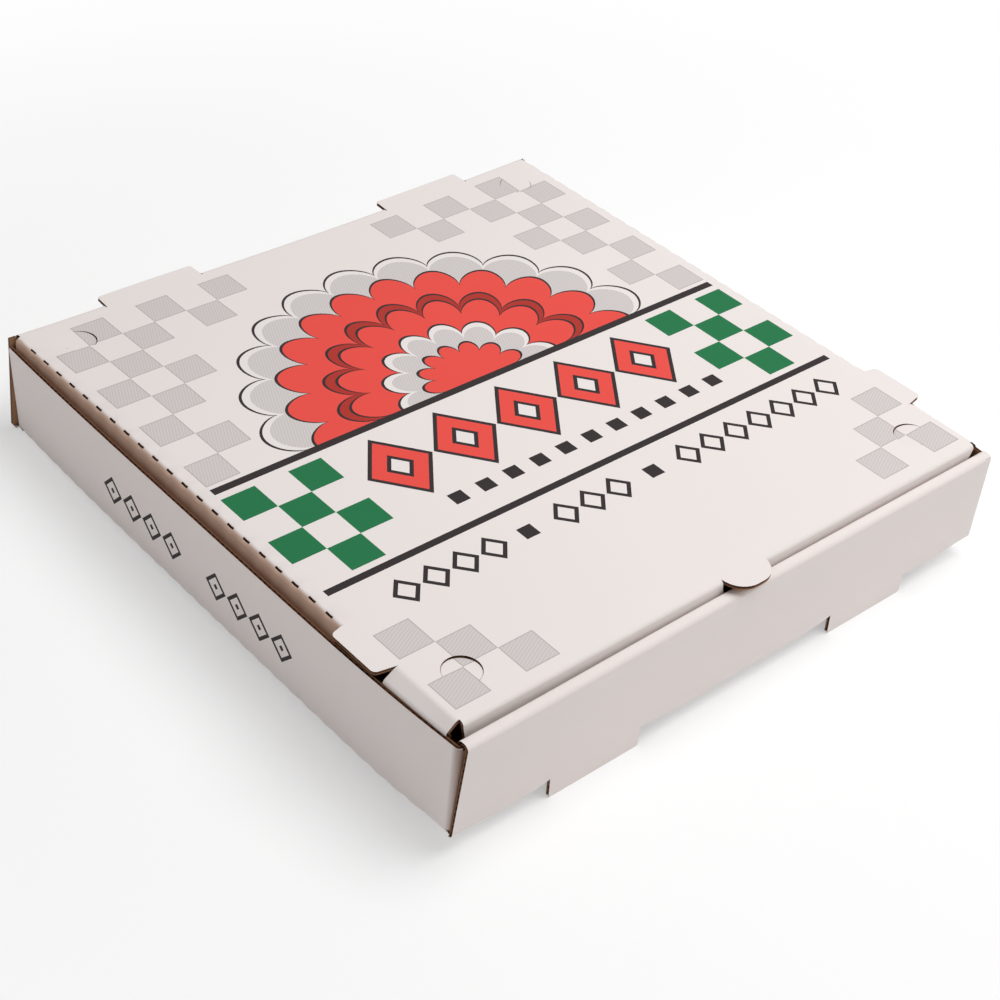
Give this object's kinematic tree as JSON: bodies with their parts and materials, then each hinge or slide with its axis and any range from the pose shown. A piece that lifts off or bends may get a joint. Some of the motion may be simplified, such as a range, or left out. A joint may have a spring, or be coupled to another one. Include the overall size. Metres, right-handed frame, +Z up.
{
  "type": "pizza box",
  "caption": "Shallow square corrugated take-away box with a rolled front wall and a hinged lid whose side and front flaps tuck inside the walls.",
  "frame": {"origin": "middle of the tray's flat underside, between the outer faces of its walls", "axes": "+Z up through the lid, +Y towards the hinge crease, +X to the right when the thumb tab faces the viewer"},
  "size_m": [0.3154, 0.3257, 0.0605],
  "materials": {
    "tray_board": "white clay-coated liner outside, brown kraft core and inside",
    "lid_board": "white clay-coated liner outside with flat printed pattern, brown kraft core and inside"
  },
  "bodies": {
    "tray": {"tray": "tray_board"},
    "lid": {"lid": "lid_board"}
  },
  "joints": [
    {"name": "lid_hinge", "type": "hinge", "parent": "tray", "child": "lid", "pos_m": [0, 0.1586, 0.0488], "axis": [-1, 0, 0], "range_deg": [0, 180]}
  ]
}
